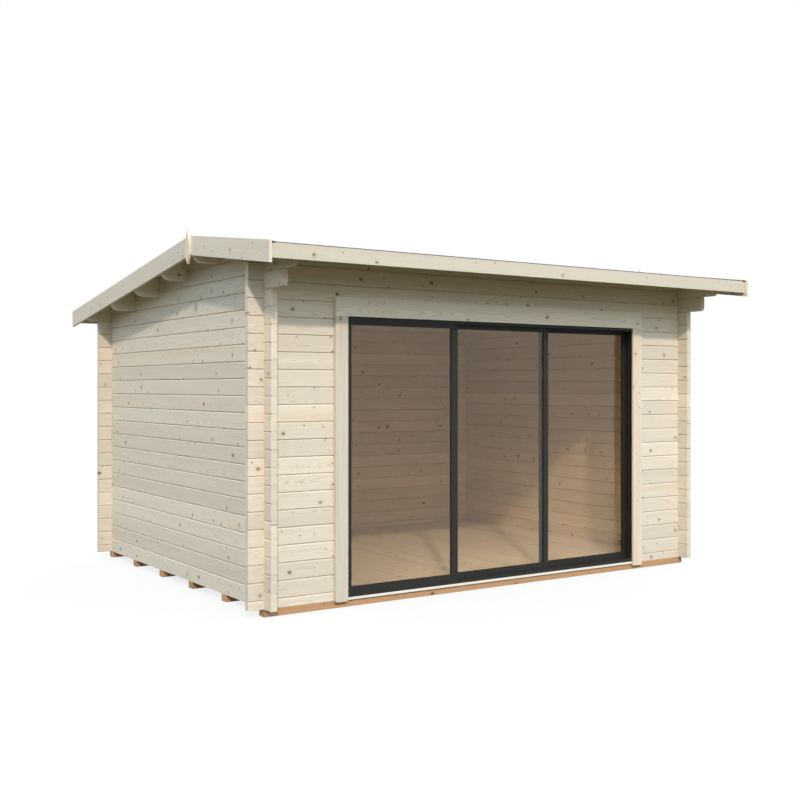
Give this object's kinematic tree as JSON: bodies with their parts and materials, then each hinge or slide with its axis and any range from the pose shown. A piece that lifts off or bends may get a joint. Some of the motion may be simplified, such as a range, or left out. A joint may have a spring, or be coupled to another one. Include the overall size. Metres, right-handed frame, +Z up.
{
  "type": "wooden garden house",
  "caption": "Log garden house with crossed log corners, an off-centre low saddle roof and a wide glazed front whose door leaves slide past each other on their own tracks.",
  "frame": {"origin": "middle of the plan at ground level, under the floor joists", "axes": "+X along the front towards the right gable, +Y from the door front to the back, +Z up"},
  "size_m": [4.38, 3.86, 2.557],
  "materials": {
    "spruce": "planed and untreated",
    "floor_wood": "planed and untreated",
    "impregnated_pine": "pressure impregnated brown",
    "anthracite": "powder coated anthracite",
    "bronze_glass": "tinted bronze",
    "roofing_felt": "mineral faced"
  },
  "bodies": {
    "house": {"joist_1": "impregnated_pine", "joist_2": "impregnated_pine", "joist_3": "impregnated_pine", "joist_4": "impregnated_pine", "joist_5": "impregnated_pine", "joist_6": "impregnated_pine", "floor_boards": "floor_wood", "door_sill_board": "spruce", "front_wall_left": "spruce", "front_wall_right": "spruce", "front_wall_top": "spruce", "back_wall": "spruce", "left_wall": "spruce", "right_wall": "spruce", "ridge_purlin": "spruce", "upper_purlin": "spruce", "middle_purlin": "spruce", "lower_purlin": "spruce", "front_roof_boards": "spruce", "back_roof_boards": "spruce", "front_roofing": "roofing_felt", "back_roofing": "roofing_felt", "front_fascia": "spruce", "back_fascia": "spruce", "front_barge_left": "spruce", "front_barge_right": "spruce", "back_barge_left": "spruce", "back_barge_right": "spruce", "ridge_diamond_left": "spruce", "ridge_diamond_right": "spruce", "door_head": "anthracite", "door_track": "anthracite", "door_jamb_left": "anthracite", "door_jamb_right": "anthracite", "trim_left": "spruce", "trim_right": "spruce", "header_board": "spruce"},
    "leaf_left": {"leaf_frame_left": "anthracite", "glass_left": "bronze_glass"},
    "leaf_middle": {"leaf_frame_middle": "anthracite", "glass_middle": "bronze_glass"},
    "leaf_right": {"leaf_frame_right": "anthracite", "glass_right": "bronze_glass"}
  },
  "joints": [
    {"name": "leaf_left_slide", "type": "slide", "parent": "house", "child": "leaf_left", "axis": [1, 0, 0], "range_m": [0, 1.774]},
    {"name": "leaf_middle_slide", "type": "slide", "parent": "house", "child": "leaf_middle", "axis": [1, 0, 0], "range_m": [-0.907, 0.867]},
    {"name": "leaf_right_slide", "type": "slide", "parent": "house", "child": "leaf_right", "axis": [1, 0, 0], "range_m": [-1.774, 0]}
  ]
}
